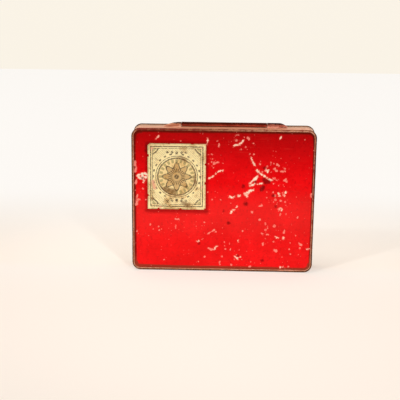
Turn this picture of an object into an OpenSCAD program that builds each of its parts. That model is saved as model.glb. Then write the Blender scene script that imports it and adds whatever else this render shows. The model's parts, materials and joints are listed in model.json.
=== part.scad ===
// Flat hinged tin standing on its opening edge: a recessed lid panel and base panel held by
// rolled rims, a neck collar inside, and a three-knuckle wire hinge along the upper edge.

/* [Tin] */
// Width over the rim beads
tin_w = 142; // [120:1:180]
// Height over the rim beads, from the edge it stands on to the hinge edge
tin_h = 114; // [90:1:150]
// Corner radius of the walls, seen from the front
corner_r = 6; // [5:0.5:12]
// Depth of the lid, from its rim to the parting line
lid_depth = 14; // [11:0.5:20]
// Depth of the body's outer wall, from its rim to the parting line
body_depth = 8; // [7.5:0.5:16]
// Slit between the closed lid and the body
parting_gap = 0.3; // [0.2:0.05:0.5]

/* [Tinplate] */
// Thickness of the tinplate
sheet = 0.35; // [0.25:0.05:0.5]
// Solder film between sheets that are sweated together
solder = 0.05; // [0.03:0.01:0.08]
// Width of the lap where the ends of a band meet
lap_w = 5; // [3:0.5:8]
// Height of the hem folded inwards along the body's upper edge
hem_h = 2.2; // [1.5:0.1:2.6]
// Height that the neck collar stands into the lid
collar_rise = 6; // [3:0.5:7]

/* [Rims] */
// Radius of the rolled bead round each rim
bead_r = 1.05; // [0.85:0.05:1.3]
// Distance that the bead stands out from the wall
bead_out = 0.6; // [0.45:0.05:0.8]
// Width of the flat worn along the bead's crest and side
bead_flat = 0.8; // [0.5:0.1:1.1]
// Depth of the panels below the crest of the bead
panel_sink = 0.9; // [0.6:0.05:1]
// Depth of the flange turned in round each panel
flange_h = 2.4; // [1.6:0.1:3]

/* [Hinge] */
// Length of the middle knuckle, on the body
mid_knuckle_l = 66; // [40:1:80]
// Length of the left end knuckle, on the lid
left_knuckle_l = 13; // [11:0.5:16]
// Length of the right end knuckle, on the lid
right_knuckle_l = 15.5; // [14:0.5:19]
// Gap between neighbouring knuckles
knuckle_gap = 0.4; // [0.3:0.05:0.8]
// Wall of the rolled knuckles
knuckle_wall = 0.55; // [0.4:0.05:0.8]
// Clearance between the knuckles and the tin's wall
knuckle_off = 0.25; // [0.2:0.05:0.5]
// Radius of the hinge wire
pin_r = 1; // [0.7:0.05:1.3]
// Running clearance round the hinge wire
pin_clear = 0.05; // [0.03:0.01:0.1]
// Length of wire inside the left end knuckle
left_seat = 5; // [3:0.5:7]
// Length of wire inside the right end knuckle
right_seat = 8.5; // [6:0.5:10]
// End play of the wire in each end knuckle
pin_play = 0.3; // [0.1:0.05:0.5]
// Radius of the pinched tip of an end knuckle
tip_r = 0.45; // [0.3:0.05:0.7]
// Height of the tip above the parting line
tip_rise = 1.5; // [1.2:0.1:2.5]
// Height of the leaf soldered to the body
body_leaf_h = 4.6; // [3:0.1:5]
// Height of the leaves soldered to the lid
lid_leaf_h = 5; // [3:0.1:8]
// Run of the slanting end of a leaf
leaf_slant = 3; // [1:0.5:6]

/* [Label] */
// Width of the paper label
label_w = 45; // [30:0.5:60]
// Height of the paper label
label_h = 52; // [35:0.5:65]
// Distance from the left side of the tin to the label
label_left = 12.5; // [6:0.5:30]
// Distance from the hinge edge of the tin to the label
label_drop = 12; // [6:0.5:22]
// Thickness of the paper
label_t = 0.12; // [0.08:0.02:0.3]

/* [Hidden] */
$fn = 64;
// Facets round the pinched tips
pinch_fn = 32;
// Overlap of cutting shapes past the faces they cut
cut = 1;

tin_t = lid_depth + body_depth;
wall_w = tin_w - 2 * bead_out;
wall_h = tin_h - 2 * bead_out;
bead_mid = sqrt(pow(bead_r, 2) - pow(bead_flat / 2, 2));
panel_inset = sheet + solder;
collar_inset = panel_inset + sheet + solder;
collar_foot = body_depth - panel_sink - sheet;

wall_y = tin_h - bead_out;
bore_r = pin_r + pin_clear;
barrel_r = bore_r + knuckle_wall;
axis_off = barrel_r + knuckle_off;
axis_y = wall_y + axis_off;
left_barrel_l = left_seat + pin_play;
right_barrel_l = right_seat + pin_play;
end_start = mid_knuckle_l / 2 + knuckle_gap;
pin_l = 2 * end_start + left_seat + right_seat;

lacquer_red = "#d8141a";
tinplate_tan = "#c39a72";
tinplate_bright = "#cbb79a";
hinge_brown = "#6b2413";
wire_grey = "#8d8378";
paper_cream = "#efdca6";

// Stands up what is modelled lying on its base, with the parting line at height 0
module stand() {
    translate([0, lid_depth - tin_t / 2, 0])
        rotate([90, 0, 0])
            children();
}

// Runs a section round the walls: x is measured outwards from the wall's outer face
module round_the_walls() {
    translate([0, tin_h / 2, 0])
        for (quarter = [0:3]) {
            across = quarter % 2 == 0 ? wall_w : wall_h;
            along = quarter % 2 == 0 ? wall_h : wall_w;
            rotate(90 * quarter) {
                translate([across / 2, 0, 0])
                    rotate([90, 0, 0])
                        linear_extrude(along - 2 * corner_r, center = true)
                            children();
                translate([across / 2 - corner_r, along / 2 - corner_r, 0])
                    rotate_extrude(angle = 90)
                        translate([corner_r, 0])
                            children();
            }
        }
}

// Outline of the tin set in from the wall's outer face
module inset_outline(inset) {
    w = wall_w - 2 * inset;
    h = wall_h - 2 * inset;
    r = corner_r - inset;
    translate([0, tin_h / 2]) {
        square([w, h - 2 * r], center = true);
        square([w - 2 * r, h], center = true);
        for (x = [-1, 1], y = [-1, 1])
            translate([x * (w / 2 - r), y * (h / 2 - r)])
                circle(r);
    }
}

// Rolled bead with its crest at height 0 and worn flats on its crest and side
module bead_section() {
    reach = 4 * bead_r;
    intersection() {
        translate([bead_out - bead_mid, -bead_mid])
            circle(bead_r);
        translate([bead_out - reach, -reach])
            square(reach);
    }
}

// Wall sheet from the parting line up to its bead, which is notched over the panel's edge
module band_section(depth) {
    difference() {
        union() {
            translate([-sheet, parting_gap / 2])
                square([sheet, depth - bead_mid - parting_gap / 2]);
            translate([0, depth])
                bead_section();
        }
        translate([-sheet - 2 * bead_r, 0])
            square([2 * bead_r, depth - panel_sink]);
    }
}

// Outer end of a band, lapped over its inner end halfway up the right side
module lap(depth) {
    translate([wall_w / 2 - sheet, (tin_h - lap_w) / 2, parting_gap / 2])
        cube([2 * sheet, lap_w, depth - bead_mid - parting_gap / 2]);
}

// Flat panel with a flange turned in round it, held under the bead
module flanged_panel(depth) {
    foot = depth - panel_sink - flange_h;
    difference() {
        translate([0, 0, foot])
            linear_extrude(flange_h)
                inset_outline(panel_inset);
        translate([0, 0, foot - cut])
            linear_extrude(flange_h - sheet + cut)
                inset_outline(panel_inset + sheet);
    }
}

// Puts a part whose own axis is z on the hinge line, starting at x
module on_hinge_line(x) {
    translate([x, axis_y, 0])
        rotate([0, 90, 0])
            children();
}

// Leaf that lies on the wall, with slanting ends
module leaf(length, height, start_slant, end_slant) {
    translate([0, wall_y + sheet, 0])
        rotate([90, 0, 0])
            linear_extrude(sheet)
                polygon([
                    [0, parting_gap / 2],
                    [length, parting_gap / 2],
                    [length - end_slant, height],
                    [start_slant, height]
                ]);
}

// Web folded out from a leaf to meet its barrel
module web(length) {
    translate([0, wall_y, parting_gap / 2])
        cube([length, axis_off, barrel_r - parting_gap / 2]);
}

// End knuckle of the lid on the right: a blind barrel whose tip is pinched down on the wall
module end_knuckle(barrel_l, knuckle_l) {
    difference() {
        union() {
            on_hinge_line(end_start)
                cylinder(r = barrel_r, h = barrel_l);
            translate([end_start, 0, 0]) {
                leaf(barrel_l + leaf_slant, lid_leaf_h, 0, leaf_slant);
                web(barrel_l);
            }
            hull() {
                on_hinge_line(end_start + barrel_l)
                    cylinder(r = barrel_r - solder, h = solder, $fn = pinch_fn);
                translate([end_start + knuckle_l - tip_r, wall_y + tip_r, tip_rise])
                    sphere(tip_r, $fn = pinch_fn);
            }
        }
        on_hinge_line(end_start - cut)
            cylinder(r = bore_r, h = barrel_l + cut);
    }
}

module base_panel() {
    color(tinplate_tan)
        stand()
            mirror([0, 0, 1])
                flanged_panel(body_depth);
}

module body_band() {
    color(tinplate_tan)
        stand()
            mirror([0, 0, 1]) {
                round_the_walls() {
                    band_section(body_depth);
                    translate([-2 * sheet, parting_gap / 2])
                        square([sheet, hem_h]);
                }
                lap(body_depth);
            }
}

module neck_collar() {
    color(tinplate_bright)
        stand()
            round_the_walls()
                translate([-collar_inset - sheet, -collar_foot])
                    square([sheet, collar_foot + collar_rise]);
}

module body_hinge_leaf() {
    color(hinge_brown)
        stand()
            difference() {
                union() {
                    on_hinge_line(-mid_knuckle_l / 2)
                        cylinder(r = barrel_r, h = mid_knuckle_l);
                    mirror([0, 0, 1])
                        translate([-mid_knuckle_l / 2, 0, 0]) {
                            leaf(mid_knuckle_l, body_leaf_h, leaf_slant, leaf_slant);
                            web(mid_knuckle_l);
                        }
                }
                on_hinge_line(-mid_knuckle_l / 2 - cut)
                    cylinder(r = bore_r, h = mid_knuckle_l + 2 * cut);
            }
}

module hinge_pin() {
    color(wire_grey)
        stand()
            on_hinge_line(-end_start - left_seat)
                cylinder(r = pin_r, h = pin_l);
}

module lid_band() {
    color(tinplate_tan)
        stand() {
            round_the_walls()
                band_section(lid_depth);
            lap(lid_depth);
        }
}

module lid_panel() {
    color(lacquer_red)
        stand()
            flanged_panel(lid_depth);
}

module lid_knuckle_left() {
    color(tinplate_tan)
        stand()
            mirror([1, 0, 0])
                end_knuckle(left_barrel_l, left_knuckle_l);
}

module lid_knuckle_right() {
    color(tinplate_tan)
        stand()
            end_knuckle(right_barrel_l, right_knuckle_l);
}

module paper_label() {
    color(paper_cream)
        stand()
            translate([label_left - tin_w / 2, tin_h - label_drop - label_h, lid_depth - panel_sink])
                cube([label_w, label_h, label_t]);
}

base_panel();
body_band();
neck_collar();
body_hinge_leaf();
hinge_pin();
lid_band();
lid_panel();
lid_knuckle_left();
lid_knuckle_right();
paper_label();
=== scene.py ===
import json
import math

import bpy
import numpy as np
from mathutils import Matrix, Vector


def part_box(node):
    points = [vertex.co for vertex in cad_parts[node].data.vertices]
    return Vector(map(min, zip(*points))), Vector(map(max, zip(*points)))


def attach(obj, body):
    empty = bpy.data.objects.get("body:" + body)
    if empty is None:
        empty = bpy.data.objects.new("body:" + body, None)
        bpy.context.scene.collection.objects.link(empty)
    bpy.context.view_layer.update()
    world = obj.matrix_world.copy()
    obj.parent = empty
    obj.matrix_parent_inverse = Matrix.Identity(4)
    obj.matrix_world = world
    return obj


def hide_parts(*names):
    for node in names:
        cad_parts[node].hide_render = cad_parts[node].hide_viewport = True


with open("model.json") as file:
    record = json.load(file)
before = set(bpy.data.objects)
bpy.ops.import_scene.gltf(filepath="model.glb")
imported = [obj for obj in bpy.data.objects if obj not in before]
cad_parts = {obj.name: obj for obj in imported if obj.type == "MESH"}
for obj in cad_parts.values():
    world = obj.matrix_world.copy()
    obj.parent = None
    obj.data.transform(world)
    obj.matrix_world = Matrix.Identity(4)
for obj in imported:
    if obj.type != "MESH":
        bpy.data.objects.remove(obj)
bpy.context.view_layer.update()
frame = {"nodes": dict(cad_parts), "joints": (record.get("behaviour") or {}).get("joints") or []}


# The base panel is one sheet of tinplate with a flange turned in round it. It sits under the
# rolled rim of the body and was never lacquered: its back is bare metal, gone brown with age.
mm = 0.001
sheet = 0.35 * mm
sheet_corner = 5.6 * mm
sheet_cell = 0.62 * mm
corner_cuts = 14
quarter_turn = math.radians(90)
sheet_crease = math.radians(35)
turned_in = 0.5


def flat_sheet(name, wide, tall, cell, middle, turn):
    """A flat grid of cells, its size and place taken into its mesh."""
    bpy.ops.object.select_all(action="DESELECT")
    bpy.ops.mesh.primitive_grid_add(
        x_subdivisions=round(wide / cell),
        y_subdivisions=round(tall / cell),
        size=1,
        location=middle,
        rotation=(turn, 0, 0))
    piece = bpy.context.object
    piece.name = name
    piece.scale = (wide, tall, 1)
    bpy.ops.object.transform_apply(location=True, rotation=True, scale=True)
    return piece


def turn_outward():
    """Ends the work on a mesh with all its faces turned outward."""
    bpy.ops.mesh.select_all(action="SELECT")
    bpy.ops.mesh.normals_make_consistent(inside=False)
    bpy.ops.object.mode_set(mode="OBJECT")


def pressed_panel(name, node, facing, cell, dents):
    """A rounded sheet the size of the CAD node, dented, with a flange behind its face."""
    low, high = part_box(node)
    wide = high[0] - low[0]
    tall = high[2] - low[2]
    deep = high[1] - low[1]
    middle = Vector(((low[0] + high[0]) / 2, low[1] if facing < 0 else high[1], (low[2] + high[2]) / 2))
    panel = flat_sheet(name, wide, tall, cell, middle, -facing * quarter_turn)
    bpy.ops.object.mode_set(mode="EDIT")
    for side in (-1, 1):
        for end in (-1, 1):
            turn = middle + Vector((side * (wide / 2 - sheet_corner), 0, end * (tall / 2 - sheet_corner)))
            for cut in range(1, corner_cuts):
                angle = quarter_turn * cut / corner_cuts
                out = Vector((side * math.cos(angle), 0, end * math.sin(angle)))
                bpy.ops.mesh.select_all(action="SELECT")
                bpy.ops.mesh.bisect(plane_co=turn + out * sheet_corner, plane_no=out, clear_outer=True)
    bpy.ops.object.mode_set(mode="OBJECT")
    for dent in dents:
        press(panel, *dent, "Y")
    bpy.ops.object.mode_set(mode="EDIT")
    bpy.ops.mesh.select_all(action="SELECT")
    bpy.ops.mesh.region_to_loop()
    bpy.ops.mesh.extrude_region_move(TRANSFORM_OT_translate={"value": (0, -facing * deep, 0)})
    turn_outward()
    wall = panel.modifiers.new("wall", "SOLIDIFY")
    wall.thickness = sheet
    wall.offset = -1
    bpy.ops.object.modifier_apply(modifier=wall.name)
    bpy.ops.object.shade_smooth_by_angle(angle=sheet_crease)
    return panel


def press(piece, name, size, depth, level, direction):
    """Soft dents of a size and depth, the same on every piece that is pressed with that name."""
    cloud = bpy.data.textures.get(name) or bpy.data.textures.new(name, "CLOUDS")
    cloud.noise_scale = size
    cloud.noise_depth = 1
    dent = piece.modifiers.new(name, "DISPLACE")
    dent.texture = cloud
    dent.texture_coords = "LOCAL"
    dent.direction = direction
    dent.strength = depth
    dent.mid_level = level
    bpy.ops.object.modifier_apply(modifier=dent.name)


def srgb(code):
    """An sRGB hex colour as linear light."""
    parts = [int(code[at:at + 2], 16) / 255 for at in (1, 3, 5)]
    light = [part / 12.92 if part < 0.04045 else ((part + 0.055) / 1.055) ** 2.4 for part in parts]
    return (*light, 1)


# The output that is used of a kind of node, where it is always the same one.
used_output = {
    "Attribute": "Fac", "Bump": "Normal", "Mapping": "Vector", "MapRange": "Result", "Math": "Value",
    "Mix": 2, "TexCoord": "Object", "TexNoise": "Fac"}


def put(tree, kind, settings, inputs):
    """Adds a node with its settings, links or sets its inputs, and gives its used output or them all."""
    node = tree.nodes.new("ShaderNode" + kind)
    for name, value in settings.items():
        setattr(node, name, value)
    for name, value in inputs.items():
        if isinstance(value, bpy.types.NodeSocket):
            tree.links.new(value, node.inputs[name])
        else:
            node.inputs[name].default_value = value
    return node.outputs[used_output[kind]] if kind in used_output else node.outputs


# Settings that many nodes share, and the numbers of a Mix node's two colour inputs.
soft_step = {"interpolation_type": "SMOOTHSTEP"}
times = {"operation": "MULTIPLY"}
times_plus = {"operation": "MULTIPLY_ADD"}
minus = {"operation": "SUBTRACT"}
larger = {"operation": "MAXIMUM"}
coat = {"data_type": "RGBA"}
coat_under = 6
coat_over = 7
old_lacquer = "#7c1812"


def begin_finish(name):
    """A new material, with its tree, its shader and where a point lies on the piece."""
    finish = bpy.data.materials.new(name)
    finish.use_nodes = True
    tree = finish.node_tree
    return finish, tree, tree.nodes["Principled BSDF"], put(tree, "TexCoord", {}, {})


def lay_coats(tree, colour, coats):
    """Lays coats of colour over the first one, each where its mask lets it show."""
    for mask, over in coats:
        colour = put(tree, "Mix", coat, {"Factor": mask, coat_under: colour, coat_over: over})
    return colour


def specks(tree, place, spacing, size_by, gain, least, ragged, raggedness, rim_low, rim_high, most):
    """Round specks of chance sizes, one to a cell of the spacing, with ragged rims."""
    cell = put(tree, "TexVoronoi", {"feature": "F1"}, {
        "Vector": place, "Scale": 1 / spacing, "Randomness": 1})
    lot = put(tree, "SeparateColor", {}, {"Color": cell["Color"]})["Red"]
    size = put(tree, "Math", times, {0: lot, 1: size_by})
    reach = put(tree, "Math", times_plus, {0: size, 1: gain, 2: least})
    rim = put(tree, "Math", times_plus, {0: ragged, 1: raggedness, 2: reach})
    depth = put(tree, "Math", minus, {0: rim, 1: cell["Distance"]})
    return put(tree, "MapRange", soft_step, {
        "Value": depth, "From Min": rim_low, "From Max": rim_high, "To Max": most})


def tinplate(name, clean, tarnish, rust, rubbed, metal, rough, mottle, gloss):
    """Tin on rolled steel: warm grey where it is clean, brown with tarnish in clouds and with tarnish and
    painted shade on the beads, dark rust in specks and crevices, where the beads also take painted shade,
    rubbed bright along the crests with painted highlights, with fine scratches and a trace of lacquer that
    on the rims is partly painted shade."""
    rub_raggedness = 1.3
    film_raggedness = 1.2
    rust_in_clouds = 0.35
    crevice_darkening = 0.55
    tarnish_dulls = 0.16
    rust_dulls = 0.3
    finish, tree, shader, place = begin_finish(name)
    handled_and_shaded, rub_and_highlight, film_and_shade, dirt_and_shade = [
        put(tree, "Attribute", {"attribute_name": trace}, {})
        for trace in ("handled_and_shaded", "rub_and_highlight", "lacquer_trace_and_shade", "dirt_and_shade")]
    cloud = put(tree, "TexNoise", {}, {
        "Vector": place, "Scale": 1 / (24 * mm), "Detail": 7, "Roughness": 0.7})
    brown = put(tree, "MapRange", soft_step, {
        "Value": cloud, "From Min": 0.34, "From Max": 0.68, "To Max": mottle})
    browned = put(tree, "Math", larger, {0: brown, 1: handled_and_shaded})
    wiped = put(tree, "Mapping", {}, {
        "Vector": place, "Rotation": (math.radians(12), math.radians(31), 0),
        "Scale": (1 / (16 * mm), 1 / (0.6 * mm), 1 / (0.5 * mm))})
    scratch = put(tree, "TexNoise", {}, {"Vector": wiped, "Scale": 1, "Detail": 2})
    scratched = put(tree, "MapRange", soft_step, {
        "Value": scratch, "From Min": 0.56, "From Max": 0.74, "To Max": 0.42})
    patchy = put(tree, "TexNoise", {}, {
        "Vector": place, "Scale": 1 / (3.2 * mm), "Detail": 3, "Roughness": 0.6})
    rub_edge = put(tree, "Math", times_plus, {0: patchy, 1: rub_raggedness, 2: rub_and_highlight})
    worn = put(tree, "MapRange", soft_step, {"Value": rub_edge, "From Min": 0.9, "From Max": 1.5})
    film_edge = put(tree, "Math", times_plus, {0: patchy, 1: film_raggedness, 2: film_and_shade})
    filmed = put(tree, "MapRange", soft_step, {
        "Value": film_edge, "From Min": 0.95, "From Max": 1.3, "To Max": 0.9})
    speck = put(tree, "TexNoise", {}, {
        "Vector": place, "Scale": 1 / (1.1 * mm), "Detail": 3, "Roughness": 0.7})
    speck_field = put(tree, "Math", times_plus, {0: cloud, 1: rust_in_clouds, 2: speck})
    rust_and_shade_edge = put(tree, "Math", times_plus, {0: dirt_and_shade, 1: crevice_darkening, 2: speck_field})
    crevice_rust_and_shade = put(tree, "MapRange", soft_step, {
        "Value": rust_and_shade_edge, "From Min": 0.84, "From Max": 1.16})
    freckles = specks(tree, place, spacing=5 * mm, size_by=1, gain=0.24, least=-0.26, ragged=speck,
                      raggedness=0.3, rim_low=-0.08, rim_high=0.05, most=0.7)
    rust_and_shade = put(tree, "Math", larger, {0: crevice_rust_and_shade, 1: freckles})
    colour = lay_coats(tree, srgb(clean), [
        (browned, srgb(tarnish)),
        (scratched, srgb(rubbed)),
        (worn, srgb(rubbed)),
        (filmed, srgb(old_lacquer)),
        (rust_and_shade, srgb(rust))])
    metallic = put(tree, "MapRange", {}, {"Value": rust_and_shade, "To Min": metal, "To Max": 0.1})
    dull = put(tree, "Math", times_plus, {0: brown, 1: tarnish_dulls, 2: rough})
    roughness = put(tree, "Math", times_plus, {0: rust_and_shade, 1: rust_dulls, 2: dull})
    relief = put(tree, "Bump", {}, {"Strength": 0.35, "Distance": 0.05 * mm, "Height": speck})
    tree.links.new(colour, shader.inputs["Base Color"])
    tree.links.new(metallic, shader.inputs["Metallic"])
    tree.links.new(roughness, shader.inputs["Roughness"])
    tree.links.new(relief, shader.inputs["Normal"])
    shader.inputs["Specular IOR Level"].default_value = gloss
    return finish


def line_inside(piece, inward):
    """Gives the faces that look into the tin its clean inside finish."""
    piece.data.materials.append(inside_tin)
    for face in piece.data.polygons:
        if inward(face):
            face.material_index = 1


inside_tin = tinplate(
    "bright_tinplate_inside", clean="#cfc3ae", tarnish="#a8906c", rust="#6a4a30", rubbed="#e6dccb",
    metal=0.75, rough=0.3, mottle=0.6, gloss=0.5)

# Each dent has a name, the spread of its cloud, its depth and the level that stays flat.
base_dents = [("base_oil_canning", 34 * mm, 0.3 * mm, 0.5), ("base_dings", 9 * mm, 0.08 * mm, 0.5)]
base = pressed_panel("base_sheet", "base_panel", facing=1, cell=sheet_cell, dents=base_dents)
base.data.materials.append(tinplate(
    "bare_tinplate_brown", clean="#bcab96", tarnish="#93795e", rust="#4f3220", rubbed="#dacdb9",
    metal=0.85, rough=0.3, mottle=0.6, gloss=0.5))
line_inside(base, lambda face: face.normal.y < turned_in)
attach(base, "body")
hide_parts("base_panel")


# The body's wall is a band of tinplate run round the corners, its ends lapped and soldered on the
# right side. Its lower edge is rolled over the base panel, its upper edge is hemmed inwards.
tin_low, tin_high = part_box("body_band")
bead_out = 0.6 * mm
bead_r = 1.02 * mm
bead_notch = 0.9 * mm
wall_corner = 6 * mm
wall_wide = tin_high[0] - tin_low[0] - 2 * bead_out
wall_tall = tin_high[2] - tin_low[2] - 2 * bead_out
wall_middle = (tin_low[2] + tin_high[2]) / 2
straight_step = 4 * mm
bead_steps = 22
hem = 2.2 * mm
lap_wide = 5 * mm
lap_ramp = 0.15 * mm
wall_rows = (0.15, 0.4, 0.62, 0.78, 0.88, 0.95)
bead_depth = 2.1 * mm
touch = 0.01 * mm
crease = math.radians(40)
edge_round = 0.1 * mm
hem_lip = 0.05 * mm
hem_round = 0.2 * mm
hem_flat = 0.02 * mm
fold_round = 0.4


def trace(name, points):
    """Draws a closed outline in the XY plane of the right side, point by point."""
    bpy.ops.object.select_all(action="DESELECT")
    bpy.ops.mesh.primitive_plane_add(size=mm, location=(0, 0, 0))
    piece = bpy.context.object
    piece.name = name
    bpy.ops.object.mode_set(mode="EDIT")
    bpy.ops.mesh.select_all(action="SELECT")
    bpy.ops.mesh.merge(type="CENTER")
    bpy.ops.transform.translate(value=points[0])
    for start, stop in zip(points, points[1:]):
        step = [b - a for a, b in zip(start, stop)]
        bpy.ops.mesh.extrude_vertices_move(TRANSFORM_OT_translate={"value": step})
    bpy.ops.mesh.select_all(action="SELECT")
    bpy.ops.mesh.edge_face_add()
    return piece


def run_round(name, section):
    """Runs a section of (outward from the wall, y) points round the tin's four sides."""
    piece = trace(name, [(wall_wide / 2 + out, y, wall_middle) for out, y in section])
    bpy.ops.mesh.delete(type="ONLY_FACE")
    bpy.ops.mesh.select_all(action="SELECT")
    half_up = wall_tall / 2 - wall_corner
    across = wall_wide - 2 * wall_corner
    runs = [((0, 0, 1), half_up), ((-1, 0, 0), across), ((0, 0, -1), 2 * half_up), ((1, 0, 0), across),
            ((0, 0, 1), half_up)]
    turns = [(1, 1), (-1, 1), (-1, -1), (1, -1)]
    for number, (way, length) in enumerate(runs):
        steps = round(length / straight_step)
        move = [part * length / steps for part in way]
        for step in range(steps):
            bpy.ops.mesh.extrude_region_move(TRANSFORM_OT_translate={"value": move})
        if number < len(turns):
            side, end = turns[number]
            centre = (side * (wall_wide / 2 - wall_corner), 0, wall_middle + end * half_up)
            bpy.ops.mesh.spin(steps=corner_cuts, angle=quarter_turn, center=centre, axis=(0, 1, 0))
    bpy.ops.mesh.select_all(action="SELECT")
    bpy.ops.mesh.remove_doubles(threshold=touch)
    turn_outward()
    return piece


def rim_section(crest, facing, edge, foot):
    """A wall from its open edge up to the rolled bead, which is notched over the panel."""
    centre_out = bead_out - bead_r
    centre_y = crest - facing * bead_r
    low_angle = -math.acos(-centre_out / bead_r)
    high_angle = math.pi - math.asin((bead_r - bead_notch) / bead_r)
    section = [(0, edge)]
    meet = centre_y + facing * bead_r * math.sin(low_angle)
    for share in wall_rows:
        section.append((0, edge + (meet - edge) * share))
    for step in range(bead_steps + 1):
        angle = low_angle + (high_angle - low_angle) * step / bead_steps
        section.append((
            centre_out + bead_r * math.cos(angle),
            centre_y + facing * bead_r * math.sin(angle)))
    section.append((-sheet, crest - facing * bead_notch))
    return section + foot


def wall_offset(points):
    """Distance of points outside the wall's outer face, less than 0 inside it."""
    side = np.abs(points[:, 0]) - (wall_wide / 2 - wall_corner)
    end = np.abs(points[:, 2] - wall_middle) - (wall_tall / 2 - wall_corner)
    past = np.hypot(np.maximum(side, 0), np.maximum(end, 0))
    return past + np.minimum(np.maximum(side, end), 0) - wall_corner


def corners_of(piece):
    """The places of a piece's vertices, one row each."""
    places = np.empty(3 * len(piece.data.vertices))
    piece.data.vertices.foreach_get("co", places)
    return places.reshape(-1, 3)


def paint(piece, name, values):
    """Keeps one number for each vertex, for the finish to read."""
    layer = piece.data.attributes.new(name, "FLOAT", "POINT")
    layer.data.foreach_set("value", np.ascontiguousarray(values, dtype=np.float32))


def lap_seam(piece, edge, stop):
    """Raises the outer end of the band by one sheet where it laps over the inner end."""
    bpy.ops.object.mode_set(mode="EDIT")
    for height in (-lap_wide / 2 - lap_ramp, -lap_wide / 2, lap_wide / 2, lap_wide / 2 + lap_ramp):
        bpy.ops.mesh.select_all(action="SELECT")
        bpy.ops.mesh.bisect(plane_co=(0, 0, wall_middle + height), plane_no=(0, 0, 1))
    bpy.ops.object.mode_set(mode="OBJECT")
    for point in piece.data.vertices:
        on_face = abs(point.co.x - wall_wide / 2) < touch
        within = abs(point.co.z - wall_middle) < lap_wide / 2 + touch
        on_wall = min(edge, stop) - touch < point.co.y < max(edge, stop) + touch
        if on_face and within and on_wall:
            point.co.x += sheet


def ramp(values, start, length):
    """0 up to the start, rising to 1 over the length."""
    return np.clip((values - start) / length, 0, 1)


def rim_wear_and_shade(piece, crest, facing, trace_left, top_wiped):
    """Rubs the bead bright in one line, brighter along the top right as a painted highlight; browns the
    whole bead with tarnish and painted shade; darkens its outer side and beside its lip with dirt and
    painted shade, less where the top is wiped; and leaves a trace of dark lacquer on the hinge side and
    the right side, on the right also painted shade."""
    right_start = 66 * mm
    right_ramp = 4 * mm
    top_start = 110 * mm
    top_ramp = 3 * mm
    low_stop = 3 * mm
    low_ramp = 2 * mm
    left_film_ramp = 50 * mm
    bead_fade = 1.6
    # Turns round the bead are in degrees, and what follows them are shares.
    rub_turn = -32
    rub_shift = 28
    rub_spread = 18
    darkening_gap = 20
    darkening_ramp = 14
    darkening_back = 190
    darkening_back_ramp = 30
    rub_full = 1.4
    side_most = 0.75
    side_wiped = 0.3
    lip_most = 0.8
    lip_wiped = 0.2
    rub_most = 0.62
    top_loss = 0.1
    low_loss = 0.12
    right_highlight_gain = 0.5
    right_film_and_shade = 0.75
    top_film_least = 0.7
    top_film_more = 0.35
    points = corners_of(piece)
    across, depth, up = points.T
    out = wall_offset(points) - (bead_out - bead_r)
    front = bead_r - facing * (crest - depth)
    turn = np.degrees(np.arctan2(out, front))
    on_bead = 2 * np.clip(bead_fade - np.hypot(out, front) / bead_r, 0, 1 / 2)
    right_side = ramp(across, right_start, right_ramp)
    top_side = ramp(up, top_start, top_ramp)
    low_side = ramp(-up, -low_stop, low_ramp)
    # The rubbed line and the dark sides move round the bead at the top and bottom; the darkening is partly
    # painted shade.
    past_rub = turn - (rub_turn + rub_shift * top_side - rub_shift * low_side)
    side_dirt_and_shade = ramp(past_rub, darkening_gap, darkening_ramp) * ramp(-turn, -darkening_back, darkening_back_ramp)
    lip_dirt_and_shade = ramp(-past_rub, darkening_gap, darkening_ramp)
    rightward = np.clip(across / (80 * mm), -0.5, 0.8)
    # Painted highlight: the rubbed line grows brighter towards the right along the top.
    rub_and_highlight_left = rub_most - top_loss * top_side - low_loss * low_side + right_highlight_gain * top_side * rightward
    side_darkening = (side_most - side_wiped * top_wiped * top_side) * side_dirt_and_shade
    lip_darkening = (lip_most - lip_wiped * top_wiped * top_side) * lip_dirt_and_shade
    top_film = top_film_least + top_film_more * ramp(-across, 0, left_film_ramp)
    paint(piece, "dirt_and_shade", on_bead * np.maximum(side_darkening, lip_darkening))
    paint(piece, "rub_and_highlight", on_bead * np.clip(rub_full - np.abs(past_rub) / rub_spread, 0, 1) * rub_and_highlight_left)
    # The whole bead is browned with tarnish and painted shade.
    paint(piece, "handled_and_shaded", on_bead)
    # On the right side the dark lacquer trace is also painted shade.
    film_and_shade = np.maximum(right_film_and_shade * right_side, top_film * top_side)
    paint(piece, "lacquer_trace_and_shade", trace_left * on_bead * film_and_shade)


def inside_wall(crest):
    """Tells the faces on the inner side of a wall from its outer side and its bead."""
    def inward(face):
        inset = -wall_offset(np.array([face.center]))[0]
        return inset > sheet / 2 and abs(face.center.y - crest) > bead_r
    return inward


body_crest = tin_high[1]
body_edge = tin_low[1]
body_foot = [
    (-sheet, body_edge + hem + hem_lip),
    (-2 * sheet, body_edge + hem),
    (-2 * sheet, body_edge + hem_round),
    (-(2 - fold_round) * sheet, body_edge + hem_flat),
    (-fold_round * sheet, body_edge)]
body_wall = run_round("body_wall", rim_section(body_crest, 1, body_edge + edge_round, body_foot))
lap_seam(body_wall, body_edge, body_crest - bead_depth)
rim_dents = ("rim_dings", 12 * mm, 0.14 * mm, 1)
press(body_wall, *rim_dents, "NORMAL")
rim_wear_and_shade(body_wall, body_crest, facing=1, trace_left=0.4, top_wiped=0)
bpy.ops.object.shade_smooth_by_angle(angle=crease)
body_wall.data.materials.append(tinplate(
    "aged_tinplate_body", clean="#d2a68a", tarnish="#8a6044", rust="#44260f", rubbed="#b88c70",
    metal=0.4, rough=0.4, mottle=0.7, gloss=0.2))
line_inside(body_wall, inside_wall(body_crest))
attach(body_wall, "body")
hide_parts("body_band")


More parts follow.
